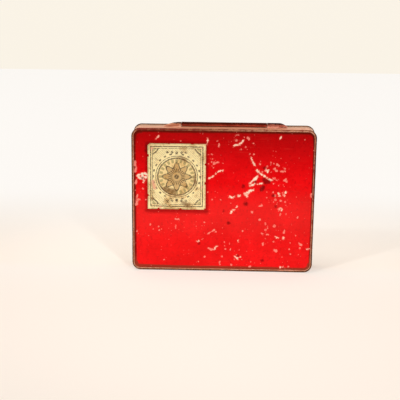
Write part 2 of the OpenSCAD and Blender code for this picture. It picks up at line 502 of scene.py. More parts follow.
# The neck collar is a plain band of tinplate sweated inside the body's wall. It stands up into the
# closed lid and keeps it in line, so it has stayed clean and bright.
collar_low, collar_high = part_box("neck_collar")
collar_out = collar_high[0] - wall_wide / 2
collar_round = 0.12 * mm
collar_row = 4 * mm
collar_section = [
    (collar_out, collar_high[1]),
    (collar_out, collar_low[1] + collar_row),
    (collar_out, collar_low[1] + collar_round),
    (collar_out - collar_round, collar_low[1]),
    (collar_out - sheet + collar_round, collar_low[1]),
    (collar_out - sheet, collar_low[1] + collar_round),
    (collar_out - sheet, collar_low[1] + collar_row),
    (collar_out - sheet, collar_high[1])]
collar = run_round("neck_collar_band", collar_section)
bpy.ops.object.shade_smooth_by_angle(angle=crease)
collar.data.materials.append(inside_tin)
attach(collar, "body")
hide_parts("neck_collar")


# The middle knuckle is a strip of tinplate rolled round the hinge wire, with its leaf soldered on
# top of the body's wall. Dark red lacquer covers it, sooty on its crown and rubbed along its front.
hinge = frame["joints"][0]
axis_y = hinge["pos_m"][1]
axis_z = hinge["pos_m"][2]
leaf_low, leaf_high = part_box("body_hinge_leaf")
wall_top = wall_middle + wall_tall / 2
barrel_r = leaf_high[2] - axis_z
bore_r = 1.05 * mm
curl_end = math.radians(298)
curl_steps = 26
leaf_fillet = 0.45 * mm
leaf_slant = 3 * mm
knuckle_step = 2 * mm
fillet_steps = 5
leaf_round = 0.4
front_rub = 1.2
front_rub_start = 0.2
soot = 1.2
soot_start = 0.45


def rolled_section(x, side, leaf_reach):
    """The end of a rolled strip: its leaf lies on the wall, behind the hinge line if side is 1."""
    outline = [(leaf_reach, wall_top), (leaf_reach, wall_top + (1 - leaf_round) * sheet)]
    outline.append((leaf_reach - leaf_round * sheet, wall_top + sheet))
    for step in range(fillet_steps + 1):
        angle = quarter_turn * step / fillet_steps
        outline.append((
            barrel_r + leaf_fillet * (1 - math.sin(angle)),
            wall_top + sheet + leaf_fillet * (1 - math.cos(angle))))
    for radius, first, last in ((barrel_r, 0, curl_end), (bore_r, curl_end, 0)):
        for step in range(curl_steps + 1):
            angle = first + (last - first) * step / curl_steps
            outline.append((radius * math.cos(angle), axis_z + radius * math.sin(angle)))
    outline.append((bore_r, wall_top))
    return [(x, axis_y + side * reach, z) for reach, z in outline]


def roll_strip(name, start, stop, side, leaf_reach):
    """Rolls a strip round the hinge line from start to stop."""
    piece = trace(name, rolled_section(start, side, leaf_reach))
    steps = round((stop - start) / knuckle_step)
    for step in range(steps):
        bpy.ops.mesh.extrude_region_move(TRANSFORM_OT_translate={"value": ((stop - start) / steps, 0, 0)})
    turn_outward()
    return piece


middle_reach = leaf_high[1] - axis_y
middle_knuckle = roll_strip("middle_knuckle", leaf_low[0], leaf_high[0], side=1, leaf_reach=middle_reach)
for point in middle_knuckle.data.vertices:
    past = max(0, point.co.y - axis_y - barrel_r - leaf_fillet) / (middle_reach - barrel_r - leaf_fillet)
    point.co.x *= 1 - past * leaf_slant / leaf_high[0]
press(middle_knuckle, "knuckle_dings", size=7 * mm, depth=0.09 * mm, level=1, direction="NORMAL")
bpy.ops.object.shade_smooth_by_angle(angle=crease)
knuckle_points = corners_of(middle_knuckle)
crown = (knuckle_points[:, 2] - axis_z) / barrel_r
paint(middle_knuckle, "rub_and_highlight", np.clip(front_rub_start - crown, 0, 1) * front_rub)
paint(middle_knuckle, "dirt_and_shade", np.clip(soot * crown + soot_start, 0, 1))
middle_knuckle.data.materials.append(tinplate(
    "dark_red_lacquer_rubbed", clean="#9c3220", tarnish="#6a1f10", rust="#48160a", rubbed="#c8604a",
    metal=0.1, rough=0.6, mottle=1, gloss=0.06))
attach(middle_knuckle, "body")
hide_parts("body_hinge_leaf")


# The hinge wire is drawn steel, pushed through the knuckles and held by the pinched ends. The CAD
# node has its shape, so it stays, and gets a dull grey finish drawn along its length.
wire_finish = tinplate(
    "drawn_steel_wire", clean="#9a9186", tarnish="#6f6357", rust="#3c2a1e", rubbed="#c8c0b4",
    metal=0.9, rough=0.38, mottle=1, gloss=0.5)
wire = frame["nodes"]["hinge_pin"]
wire.material_slots[0].material = wire_finish


# The lid's wall is the same kind of band as the body's, deeper, with its own bead rolled over the lid
# panel and its lap on the right side. Only a trace of lacquer is left along its rim, and its bead is
# darkened in places with painted shade.
lid_low, lid_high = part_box("lid_band")
lid_crest = lid_low[1]
lid_edge = lid_high[1]
lid_row = 6 * mm
lid_lip = 0.05 * mm
lid_foot = [(-sheet, lid_edge - lid_row), (-sheet, lid_edge - lid_lip), (-sheet / 2, lid_edge)]
lid_wall = run_round("lid_wall", rim_section(lid_crest, -1, lid_edge - lid_lip, lid_foot))
lap_seam(lid_wall, lid_edge, lid_crest + bead_depth)
press(lid_wall, *rim_dents, "NORMAL")
rim_wear_and_shade(lid_wall, lid_crest, facing=-1, trace_left=0.7, top_wiped=1)
bpy.ops.object.shade_smooth_by_angle(angle=crease)
lid_wall.data.materials.append(tinplate(
    "aged_tinplate_lid", clean="#eaaa8a", tarnish="#ac7050", rust="#4e2e18", rubbed="#f4bea4",
    metal=0.35, rough=0.38, mottle=0.55, gloss=0.2))
line_inside(lid_wall, inside_wall(lid_crest))
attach(lid_wall, "lid")
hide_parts("lid_band")


# The lid panel is a pressed sheet like the base, stoved with glossy red lacquer. Knocks have
# chipped it to the pale priming coat, in long strokes and in flecks that gather to the right.
lid_dents = [("lid_oil_canning", 38 * mm, 0.32 * mm, 0.5), ("lid_dings", 10 * mm, 0.1 * mm, 0.5)]
lid_panel = pressed_panel("lid_sheet", "lid_panel", facing=-1, cell=sheet_cell, dents=lid_dents)
# Each mark on the lid: half its width, then the points it runs through, across and up, in millimetres.
deep_chips = [
    (0.6, (-12.6, 101.9), (-12.4, 106.4)),
    (0.55, (-11.2, 75.3), (-8.2, 76.5), (-6.2, 78), (-3.7, 80.5)), (0.6, (-2.7, 81), (-0.2, 81.5)),
    (0.6, (7.3, 100.9), (9.8, 101.7), (12.3, 101.7)), (0.8, (13.1, 103), (14.6, 104.7)),
    (0.7, (20.6, 92), (22.3, 89), (23.9, 85.9)),
    (0.85, (25.7, 82.3), (26.9, 80.9), (28.8, 79.5), (31.3, 77.9), (34.3, 76), (37.5, 74.1)),
    (1, (21.1, 71.9), (22.7, 73.6), (24.9, 75.3), (26.3, 77)), (0.9, (23.9, 71.4), (21.2, 69.6)),
    (0.6, (26.6, 71.2), (30.1, 71.8)), (1.25, (17.2, 63.4), (19.6, 64.4), (21.8, 66.1), (23.1, 66.5)),
    (0.8, (17.9, 62.2), (18.7, 61)), (1.1, (5.9, 60.6), (8.3, 60.4)), (0.9, (12.1, 61.4), (12.8, 61.9)),
    (0.7, (32.7, 81.9), (34.7, 82.3), (34.1, 80.9)), (1, (43, 64.2), (43.7, 62.6)),
    (0.75, (48.3, 65), (47.9, 62.2)), (0.6, (43.9, 51.2), (45.7, 52.4), (45.6, 50.7)),
    (0.7, (6.7, 47.5), (7.3, 49.7), (8.7, 50.4)), (0.6, (9.7, 51.6), (11.5, 53.2)),
    (1, (-66.1, 76.5), (-64.3, 77.5), (-60.7, 78.1), (-58.7, 77.5)),
    (0.9, (-65.3, 75.3), (-63.9, 74.3)), (1.3, (-62.7, 76.1), (-60.3, 75.1)),
    (1, (-61.5, 74.1), (-61.3, 71.8)), (0.55, (-51.7, 105.6), (-50.1, 107.8)),
    (0.6, (-20.2, 23.8), (-18, 24.9)), (0.5, (-16, 25.8), (-15.4, 26.2)),
    (0.7, (-5.7, 18.6), (-4.3, 20.4)), (0.8, (10.1, 12.1), (11.9, 10.8), (14.3, 11.8)),
    (0.6, (12.1, 10.2), (12.5, 9.4)), (0.7, (41.9, 28.9), (43.9, 28.3)),
    (0.55, (48.1, 28.7), (47.9, 27.2)), (0.7, (46.1, 4.1), (48.3, 4.4)),
    (0.7, (43.7, 108.4), (42.8, 107.2)), (0.6, (12.3, 25.6), (12.8, 24)),
    (0.6, (66.6, 19.3), (68.4, 19.8))]
shallow_chips = [
    (0.7, (-9.2, 94)), (0.7, (-11.4, 93.8)), (0.5, (-10.2, 90.5)), (0.5, (-9.2, 88)),
    (0.7, (-7.3, 86.5)), (0.6, (-7.7, 83.5)), (0.6, (-5.1, 87.5), (-3.5, 87.5)), (0.5, (-5.2, 104.4)),
    (0.5, (-3.7, 100.4), (-3.7, 102.4)), (0.5, (8.9, 109), (11.3, 109.4)), (0.8, (9.6, 105.2)),
    (0.7, (18.3, 107.6), (19.3, 106)), (0.7, (22.8, 103.4)), (0.7, (13.3, 98.4)), (0.5, (20.3, 94.8)),
    (0.7, (23.3, 94.5)), (0.7, (28.1, 89.3)), (0.7, (28.1, 86.7)), (0.6, (38.6, 87.5)),
    (0.5, (36.3, 87)), (0.7, (41.1, 86.9), (42.6, 85.9)), (0.9, (39.4, 83.8)), (0.9, (40.8, 81.7)),
    (0.6, (44.3, 81.5), (47.5, 81.5)), (0.5, (36.8, 80.5)), (0.6, (38.8, 76)), (0.9, (41.3, 74.5)),
    (0.8, (47.1, 74.5), (48.5, 75.7)), (0.7, (47.7, 74), (48.9, 73.2)), (0.6, (38.9, 71.8)),
    (0.5, (38.8, 65.1)), (0.6, (46.3, 64.6)), (0.6, (69, 98.4)), (0.5, (61.8, 106.4)),
    (0.6, (-1.9, 58.1)), (0.5, (-8.2, 58.4)), (0.6, (-11.7, 64.1)), (0.9, (22.8, 48.7)),
    (0.9, (29, 42.7)), (0.5, (28.3, 53.6), (30.3, 54.2)), (0.7, (-6.7, 33.7)), (0.6, (-8.3, 32.5)),
    (0.5, (-5.2, 32.2)), (0.7, (-10.7, 30.7)), (0.5, (15.8, 33.2)), (0.6, (1.5, 23.8)),
    (0.7, (-10.7, 18.8), (-8.7, 17.3), (-6.3, 17.8)), (0.7, (2.6, 18.1)), (0.7, (6.5, 18.1)),
    (0.9, (-13.5, 11.7)), (0.5, (11.3, 13.8)), (0.6, (-1.7, 7.3), (-1.7, 5.4)), (0.6, (7.3, 5)),
    (0.8, (22.1, 4.3)), (0.6, (48.3, 57.1)), (0.7, (44.8, 58.1)), (0.5, (44.9, 47.7), (44.6, 46.5)),
    (0.6, (49.3, 47.7)), (0.5, (30.7, 31.2), (32.3, 31.2)), (0.5, (34.7, 30.7), (35.9, 30.9)),
    (0.6, (35.3, 35.7), (35.3, 37.2)), (0.5, (39.7, 37.3), (40.5, 36.3)),
    (0.6, (48.6, 34.2), (48.1, 32.3)), (0.6, (32.1, 23.8), (32, 21.8)), (0.6, (58.3, 44.9)),
    (0.7, (60.3, 24.1), (62, 22.6)), (0.6, (52.6, 19.1)), (0.9, (41.3, 17.8), (42.8, 17.2)),
    (0.6, (52.6, 4.5)), (0.6, (-36.7, 42.2), (-34.3, 41.7)), (0.5, (-36.7, 36.7), (-36.7, 34.7)),
    (0.6, (-67.2, 31.7)), (0.9, (-67.5, 53.4), (-66.7, 56)), (0.7, (-67.3, 58.6), (-66.7, 60.6)),
    (0.6, (68.4, 61.6), (68.4, 64)), (0.5, (-67.7, 57.1), (-64.7, 57.2)), (0.5, (-60, 57.4)),
    (0.6, (-56.7, 37.2)), (0.5, (-50.2, 35.7)), (0.5, (-49.7, 32.7)), (0.7, (-45.7, 8.5)),
    (0.9, (-68.1, 79.5), (-67.5, 82.5)), (0.8, (-68.3, 84.5), (-68.1, 87.5)),
    (0.8, (-67.7, 70.6), (-67.5, 72.6)), (0.5, (-56.7, 108.4)), (0.6, (-32.7, 104.4)),
    (0.5, (-18.7, 7.8)), (0.5, (-14.2, 39.7)), (0.42, (-12, 30.2), (-9, 32), (-6.8, 33.4))]
# Dark spots in the lacquer; the one at the label's torn top left corner is a painted shadow.
dark_spots = [
    (1.4, (17.9, 55.2)), (1.1, (4.8, 39.7)), (1.1, (15.6, 69.2)), (1.2, (31.1, 68.8), (29.9, 66.8)),
    (1.6, (32.8, 73)), (1.2, (31.3, 74.9), (35.1, 73)), (0.9, (-59.2, 96), (-59, 99.8)),
    (0.7, (24.7, 73)), (1.1, (31.8, 9.3)), (0.7, (0.8, 49.2)), (0.8, (12.7, 12.7)),
    (0.7, (-62.3, 74.7)), (0.9, (31.5, 84.1)), (0.8, (38.9, 62.2)), (0.7, (41.1, 53.6)),
    (0.6, (-18.1, 22.4))]
# Each worn place: its reach, its middle and its share of flecks.
worn_places = [
    (15, (38, 80), 0.95), (13, (45, 58), 0.9), (14, (40, 34), 0.85), (14, (4, 18), 0.75),
    (9, (-7, 90), 0.9), (8, (-64, 66), 0.75), (10, (14, 105), 0.75), (16, (56, 20), 0.6),
    (14, (-30, 40), 0.5), (18, (-48, 30), 0.4), (14, (22, 12), 0.6), (14, (2, 58), 0.45)]


far_outside = -9.0
least_length = 1e-9
wear_full = 1.4
side_soil_from = 62
side_soil_most = 0.8
foot_soil_top = 8
foot_soil_half = 60
foot_soil_most = 1.4
foot_soil_right = 0.3
label_shadow_below = 1.1


def stroke_depth(points, strokes):
    """How far points lie inside the nearest stroke, in millimetres, less than 0 outside."""
    depth = np.full(len(points), far_outside)
    for half_wide, *path in strokes:
        for start, stop in zip(path, path[1:] or path):
            first = np.array(start)
            along = np.array(stop) - first
            share = np.clip((points - first) @ along / max(along @ along, least_length), 0, 1)
            away = np.linalg.norm(points - first - share[:, None] * along, axis=1)
            depth = np.maximum(depth, half_wide - away)
    return depth


panel_points = corners_of(lid_panel)
face_points = panel_points[:, [0, 2]] / mm
wear = np.zeros(len(face_points))
for reach, spot, share in worn_places:
    away = np.linalg.norm(face_points - np.array(spot), axis=1)
    wear = np.maximum(wear, share * np.clip(wear_full - away / reach, 0, 1))
label_low, label_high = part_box("paper_label")
past_side = np.maximum(label_low[0] - panel_points[:, 0], panel_points[:, 0] - label_high[0])
past_end = np.maximum(label_low[2] - panel_points[:, 2], panel_points[:, 2] - label_high[2])
for mark, strokes in (("deep_chip", deep_chips), ("shallow_chip", shallow_chips), ("scorch_and_shadow", dark_spots)):
    paint(lid_panel, mark, stroke_depth(face_points, strokes))
paint(lid_panel, "wear", wear)
across, up = face_points.T
side_soil = side_soil_most * ramp(-across, side_soil_from, 1)
foot_share = foot_soil_most - foot_soil_right * np.clip(across / foot_soil_half, -1, 1)
foot_soil = foot_share * ramp(-up, -foot_soil_top, 1)
paint(lid_panel, "border", -wall_offset(panel_points) / mm - np.maximum(side_soil, foot_soil))
# Painted shadow: under the label's lower edge the paste mark is widened downward.
below_label = ramp(-panel_points[:, 2], -label_low[2], mm)
paste_away = np.hypot(np.maximum(past_side, 0), np.maximum(past_end, 0)) / mm
paint(lid_panel, "pasted", paste_away - label_shadow_below * below_label)

# Stoved lacquer: a hard, even red with a soft sheen, paler across the middle, darkened towards the top
# with painted shade, with pale priming in the chips, brown dirt along the rim that the bead's painted
# shadow widens at the top, and a paste stain round the label with a painted shadow below it.
top_shade_waver = 16 * mm
soil_waver = -1.4
paste_waver = -4
fine_tear = 0.8
deep_raggedness = 3
mark_raggedness = 2.2
chip_dulls = 0.2
chip_step = -4
lacquer, tree, shader, place = begin_finish("stoved_red_lacquer")
height = put(tree, "SeparateXYZ", {}, {"Vector": place})["Z"]
deep, shallow, scorch_and_shadow, worn, border, pasted = [
    put(tree, "Attribute", {"attribute_name": mark}, {})
    for mark in ("deep_chip", "shallow_chip", "scorch_and_shadow", "wear", "border", "pasted")]
fade = put(tree, "TexNoise", {}, {"Vector": place, "Scale": 1 / (26 * mm), "Detail": 6, "Roughness": 0.68})
faded = put(tree, "MapRange", soft_step, {"Value": fade, "From Min": 0.35, "From Max": 0.65})
mottle = put(tree, "TexNoise", {}, {
    "Vector": place, "Scale": 1 / (2.6 * mm), "Detail": 4, "Roughness": 0.7})
mottled = put(tree, "MapRange", soft_step, {
    "Value": mottle, "From Min": 0.5, "From Max": 0.72, "To Max": 0.45})
uneven = put(tree, "Math", times_plus, {0: fade, 1: top_shade_waver, 2: height})
# Painted shade: the red darkens towards the top of the lid, where less light reaches it.
top_painted_shade = put(tree, "MapRange", soft_step, {
    "Value": uneven, "From Min": 80 * mm, "From Max": 126 * mm, "To Max": 0.62})
# The red is paler and pinker across the middle of the face, fading out above and below.
pale_band_top = put(tree, "MapRange", soft_step, {
    "Value": uneven, "From Min": 82 * mm, "From Max": 58 * mm, "To Max": 0.1})
pale_band_foot = put(tree, "MapRange", soft_step, {
    "Value": uneven, "From Min": 48 * mm, "From Max": 30 * mm, "To Max": 0.055})
pale_middle_band = put(tree, "Math", minus, {0: pale_band_top, 1: pale_band_foot})
soil_edge = put(tree, "Math", times_plus, {0: fade, 1: soil_waver, 2: border})
# Painted shadow: near the top the dark border reaches further in, for the shadow of the bead above.
top_rim_shadow = put(tree, "MapRange", soft_step, {
    "Value": height, "From Min": 100 * mm, "From Max": 112 * mm, "To Max": -0.9})
soil_and_shadow_reach = put(tree, "Math", {"operation": "ADD"}, {0: soil_edge, 1: top_rim_shadow})
soil_and_shadow = put(tree, "MapRange", soft_step, {
    "Value": soil_and_shadow_reach, "From Min": 1.9, "From Max": 0.7, "To Max": 0.85})
above_foot = put(tree, "MapRange", soft_step, {"Value": height, "From Min": 6 * mm, "From Max": 16 * mm})
paste_edge = put(tree, "Math", times_plus, {0: fade, 1: paste_waver, 2: pasted})
# A paste stain round the label, with a painted shadow along its lower edge.
paste_stain_and_shadow = put(tree, "MapRange", soft_step, {
    "Value": paste_edge, "From Min": 1.2, "From Max": -1.8, "To Max": 0.62})
ragged = put(tree, "TexNoise", {}, {
    "Vector": place, "Scale": 1 / (0.9 * mm), "Detail": 3, "Roughness": 0.65})
broken = put(tree, "TexNoise", {}, {
    "Vector": place, "Scale": 1 / (2.4 * mm), "Detail": 2, "Roughness": 0.6})
tear = put(tree, "Math", times_plus, {0: ragged, 1: fine_tear, 2: broken})
deep_edge = put(tree, "Math", times_plus, {0: tear, 1: deep_raggedness, 2: deep})
scuffed = put(tree, "MapRange", soft_step, {
    "Value": deep_edge, "From Min": 1.8, "From Max": 2.6, "To Max": 0.3})
chipped = put(tree, "MapRange", soft_step, {"Value": deep_edge, "From Min": 2.5, "From Max": 3})
primed = put(tree, "MapRange", {}, {"Value": deep_edge, "From Min": 2.7, "From Max": 3.6})
shallow_edge = put(tree, "Math", times_plus, {0: tear, 1: mark_raggedness, 2: shallow})
nicked = put(tree, "MapRange", soft_step, {
    "Value": shallow_edge, "From Min": 1.65, "From Max": 2.35, "To Max": 0.9})
dark_spot_edge = put(tree, "Math", times_plus, {0: tear, 1: mark_raggedness, 2: scorch_and_shadow})
dark_spotted = put(tree, "MapRange", soft_step, {
    "Value": dark_spot_edge, "From Min": 0.9, "From Max": 2.7, "To Max": 0.75})
flecks = specks(tree, place, spacing=3.4 * mm, size_by=worn, gain=0.55, least=-0.26, ragged=ragged,
                raggedness=0.42, rim_low=-0.03, rim_high=0.07, most=0.6)
pricks = specks(tree, place, spacing=2 * mm, size_by=1, gain=0.62, least=-0.4, ragged=ragged,
                raggedness=0, rim_low=-0.04, rim_high=0.06, most=0.32)
speckled = put(tree, "Math", larger, {0: flecks, 1: pricks})
grazed = put(tree, "Math", larger, {0: nicked, 1: speckled})
wiped = put(tree, "Mapping", {}, {
    "Vector": place, "Rotation": (0, math.radians(24), 0),
    "Scale": (1 / (22 * mm), 1 / mm, 1 / (0.45 * mm))})
hairline = put(tree, "TexNoise", {}, {"Vector": wiped, "Scale": 1, "Detail": 2})
scratched = put(tree, "MapRange", soft_step, {
    "Value": hairline, "From Min": 0.64, "From Max": 0.76, "To Max": 0.25})
# The rim dirt is a lighter brown near the foot and a darker maroon above it, partly painted shade.
soil_and_shade_brown = put(tree, "Mix", coat, {
    "Factor": above_foot, coat_under: srgb("#843c28"), coat_over: srgb("#5e1408")})
priming = put(tree, "Mix", coat, {
    "Factor": primed, coat_under: srgb("#ff8a76"), coat_over: srgb("#fff2dc")})
colour = lay_coats(tree, srgb("#e40309"), [
    (faded, srgb("#f40a12")),
    (mottled, srgb("#b40008")),
    (top_painted_shade, srgb("#860204")),
    (pale_middle_band, srgb("#ff6a60")),
    (soil_and_shadow, soil_and_shade_brown),
    (paste_stain_and_shadow, srgb("#7a0606")),
    (scuffed, srgb("#e04a40")),
    (scratched, srgb("#f4604c")),
    (grazed, srgb("#ff9486")),
    (chipped, priming),
    (dark_spotted, srgb("#5c0506"))])
smear = put(tree, "TexNoise", {}, {"Vector": place, "Scale": 1 / (9 * mm), "Detail": 5, "Roughness": 0.6})
sheen = put(tree, "MapRange", {}, {
    "Value": smear, "From Min": 0.3, "From Max": 0.7, "To Min": 0.3, "To Max": 0.46})
bare = put(tree, "Math", larger, {0: chipped, 1: grazed})
roughness = put(tree, "Math", times_plus, {0: bare, 1: chip_dulls, 2: sheen})
step_down = put(tree, "Math", times_plus, {0: bare, 1: chip_step, 2: smear})
relief = put(tree, "Bump", {}, {"Strength": 0.4, "Distance": 0.05 * mm, "Height": step_down})
tree.links.new(colour, shader.inputs["Base Color"])
tree.links.new(roughness, shader.inputs["Roughness"])
tree.links.new(relief, shader.inputs["Normal"])
shader.inputs["IOR"].default_value = 1.5
shader.inputs["Specular IOR Level"].default_value = 0.1
shader.inputs["Specular Tint"].default_value = srgb("#ffa8a8")
lid_panel.data.materials.append(lacquer)
line_inside(lid_panel, lambda face: face.normal.y > -turned_in)
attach(lid_panel, "lid")
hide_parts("lid_panel")


# The lid's two end knuckles are short strips rolled round the ends of the wire, the right one the
# longer. Their outer ends are hammered down to a flat point, their leaves soldered on the lid's wall.
tip_reach = axis_y - 1.5 * mm
tip_low = wall_top + 0.45 * mm
tip_wide = 0.34
tip_flat = 0.26
collar_l = 0.4 * mm
pinch_steps = 10
weld_lap = 0.5 * mm
barrel_sides = 32
facing_out = 0.9
leaf_under = 0.15 * mm
plate_gain = 1.06
bore_skin = 1.1
end_rub = 0.9
end_rub_start = 0.25
end_soot = 1.3
end_soot_start = 0.2


def end_knuckle(name, node, side, barrel_l, leaf_l, slack, crown_left):
    """Rolls an end knuckle on the right, pinches its end, later with more slack, hammers its crown
    down to the share left, and turns it over for the left."""
    low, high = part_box(node)
    start = min(abs(low[0]), abs(high[0]))
    tip = max(abs(low[0]), abs(high[0]))
    barrel_stop = start + barrel_l
    knuckle = roll_strip(name, start, barrel_stop, -1, axis_y - low[1])
    bpy.ops.object.select_all(action="DESELECT")
    bpy.ops.mesh.primitive_cylinder_add(
        vertices=barrel_sides, radius=barrel_r, depth=collar_l, location=(barrel_stop, axis_y, axis_z),
        rotation=(0, quarter_turn, 0))
    pinch = bpy.context.object
    bpy.ops.object.transform_apply(location=True, rotation=True, scale=True)
    bpy.ops.object.mode_set(mode="EDIT")
    bpy.ops.mesh.select_all(action="DESELECT")
    bpy.ops.object.mode_set(mode="OBJECT")
    for face in pinch.data.polygons:
        face.select = face.normal.x > facing_out
    bpy.ops.object.mode_set(mode="EDIT")
    here = Vector((barrel_stop + collar_l / 2, axis_y, axis_z))
    span = tip - here.x
    wide_now = 1
    flat_now = 1
    for step in range(1, pinch_steps + 1):
        eased = (step / pinch_steps) ** slack
        there = Vector((
            here.x + span / pinch_steps,
            axis_y + (tip_reach - axis_y) * eased,
            axis_z + (tip_low - axis_z) * eased))
        bpy.ops.mesh.extrude_region_move(TRANSFORM_OT_translate={"value": there - here})
        wide = 1 + (tip_wide - 1) * eased
        flat = 1 + (tip_flat - 1) * eased
        bpy.ops.transform.resize(value=(1, wide / wide_now, flat / flat_now), center_override=there)
        here = there
        wide_now = wide
        flat_now = flat
    bpy.ops.object.mode_set(mode="OBJECT")
    bpy.ops.object.select_all(action="DESELECT")
    bpy.ops.mesh.primitive_plane_add(size=mm, location=(0, 0, 0))
    slant = bpy.context.object
    slant_corners = [
        (barrel_stop - weld_lap, low[1]), (start + leaf_l, low[1]),
        (barrel_stop - weld_lap, axis_y - leaf_under), (start + leaf_l + leaf_slant, axis_y - leaf_under)]
    for point, (x, y) in zip(slant.data.vertices, slant_corners):
        point.co = (x, y, wall_top + sheet / 2)
    slant_wall = slant.modifiers.new("wall", "SOLIDIFY")
    slant_wall.thickness = plate_gain * sheet
    slant_wall.offset = 0
    bpy.ops.object.modifier_apply(modifier=slant_wall.name)
    for part in (pinch, slant):
        weld = knuckle.modifiers.new("weld", "BOOLEAN")
        weld.operation = "UNION"
        weld.object = part
        bpy.context.view_layer.objects.active = knuckle
        bpy.ops.object.modifier_apply(modifier=weld.name)
        bpy.data.objects.remove(part)
    bpy.ops.object.select_all(action="DESELECT")
    knuckle.select_set(True)
    bpy.context.view_layer.objects.active = knuckle
    for point in knuckle.data.vertices:
        off_axis = math.hypot(point.co.y - axis_y, point.co.z - axis_z)
        if point.co.z > axis_z and off_axis > bore_skin * bore_r:
            point.co.z = axis_z + (point.co.z - axis_z) * crown_left
    knuckle.scale = (side, 1, 1)
    bpy.ops.object.transform_apply(location=True, rotation=True, scale=True)
    bpy.ops.object.mode_set(mode="EDIT")
    turn_outward()
    bpy.ops.object.shade_smooth_by_angle(angle=crease)
    crown = (corners_of(knuckle)[:, 2] - axis_z) / barrel_r
    paint(knuckle, "rub_and_highlight", np.clip(end_rub_start - crown, 0, 1) * end_rub)
    paint(knuckle, "dirt_and_shade", np.clip(crown + end_soot_start, 0, 1) * end_soot)
    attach(knuckle, "lid")
    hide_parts(node)
    return knuckle


end_left = end_knuckle(
    "end_knuckle_left", "lid_knuckle_left", side=-1,
    barrel_l=2 * mm, leaf_l=5.3 * mm, slack=1.3, crown_left=0.86)
end_right = end_knuckle(
    "end_knuckle_right", "lid_knuckle_right", side=1,
    barrel_l=8.8 * mm, leaf_l=8.8 * mm, slack=1.9, crown_left=1)
end_left.data.materials.append(tinplate(
    "brown_tinplate_smoked", clean="#dc9e80", tarnish="#b07052", rust="#4c281a", rubbed="#e8ac90",
    metal=0.2, rough=0.5, mottle=0.7, gloss=0.15))
end_right.data.materials.append(tinplate(
    "red_brown_tinplate", clean="#c47460", tarnish="#94503e", rust="#401209", rubbed="#e09a84",
    metal=0.2, rough=0.48, mottle=0.9, gloss=0.15))


# The label is thin printed paper pasted on the lid. Its edges are nicked, two corners are torn away,
# and the print is a plain ornament in brown and olive, rubbed and foxed.
label_wide = label_high[0] - label_low[0]
label_tall = label_high[2] - label_low[2]
label_thick = label_high[1] - label_low[1]
label_cell = 0.5 * mm
torn_through = 0.1
label_middle = ((label_low[0] + label_high[0]) / 2, label_high[1], (label_low[2] + label_high[2]) / 2)
label = flat_sheet("paper_label_sheet", label_wide, label_tall, label_cell, label_middle, quarter_turn)
label_tears = [
    (0.9, (-58.5, 92.5)), (0.7, (-58.5, 61)), (1, (-13.5, 71)), (0.7, (-13.5, 86)),
    (1.6, (-58.8, 102.3)), (1.2, (-13.3, 49.7)), (0.7, (-33, 49.9)), (0.6, (-42, 102.1)),
    (0.7, (-24, 102.3)), (0.8, (-50, 49.9))]
torn = stroke_depth(corners_of(label)[:, [0, 2]] / mm, label_tears)
bpy.ops.object.mode_set(mode="EDIT")
bpy.ops.mesh.select_all(action="DESELECT")
bpy.ops.object.mode_set(mode="OBJECT")
for face in label.data.polygons:
    face.select = max(torn[corner] for corner in face.vertices) > torn_through
bpy.ops.object.mode_set(mode="EDIT")
bpy.ops.mesh.delete(type="FACE")
bpy.ops.object.mode_set(mode="OBJECT")
for dent in lid_dents:
    press(label, *dent, "Y")
press(label, "paper_cockle", size=5 * mm, depth=-0.1 * mm, level=0.2, direction="Y")
paste = label.modifiers.new("paper", "SOLIDIFY")
paste.thickness = label_thick
paste.offset = 1
bpy.ops.object.modifier_apply(modifier=paste.name)
bpy.ops.object.shade_smooth_by_angle(angle=crease)
label_blots = [
    (2.6, (-45, 66), (-38, 64.5)), (1.8, (-22.5, 76), (-21, 71)), (2.2, (-31, 55.5), (-27, 53.5)),
    (1.2, (-52, 90)), (1, (-20, 95)), (1.4, (-55, 58)), (1.6, (-33, 92), (-30, 89))]
label_skinned = [
    (1.6, (-55, 98)), (1.6, (-54.5, 72), (-53, 67)), (1.2, (-16, 68)), (1.4, (-49, 51.6)),
    (1, (-17, 99))]
paper_points = corners_of(label)[:, [0, 2]] / mm
paint(label, "blot", stroke_depth(paper_points, label_blots))
paint(label, "skinned", stroke_depth(paper_points, label_skinned))

# Thin wood-pulp paper: matt and cream, browned by paste and damp, with rubbed letterpress ink,
# rust-brown foxing and skinned places where the red below shows through.
paper, tree, shader, place = begin_finish("aged_printed_paper")
plate = put(tree, "Mapping", {}, {
    "Vector": place, "Scale": [1 / mm] * 3, "Location": [-part / mm for part in label_middle]})
axes = put(tree, "SeparateXYZ", {}, {"Vector": plate})
ragged = put(tree, "TexNoise", {}, {
    "Vector": place, "Scale": 1 / (0.8 * mm), "Detail": 2, "Roughness": 0.6})
stain = put(tree, "TexNoise", {}, {"Vector": place, "Scale": 1 / (8 * mm), "Detail": 6, "Roughness": 0.7})
rubbed = put(tree, "MapRange", soft_step, {
    "Value": ragged, "From Min": 0.34, "From Max": 0.54, "To Min": 0.25, "To Max": 0.95})
drawn = {"x": axes["X"], "z": axes["Z"], "ragged": ragged, "stain": stain, "rubbed": rubbed}
for mark in ("blot", "skinned"):
    drawn[mark] = put(tree, "Attribute", {"attribute_name": mark}, {})

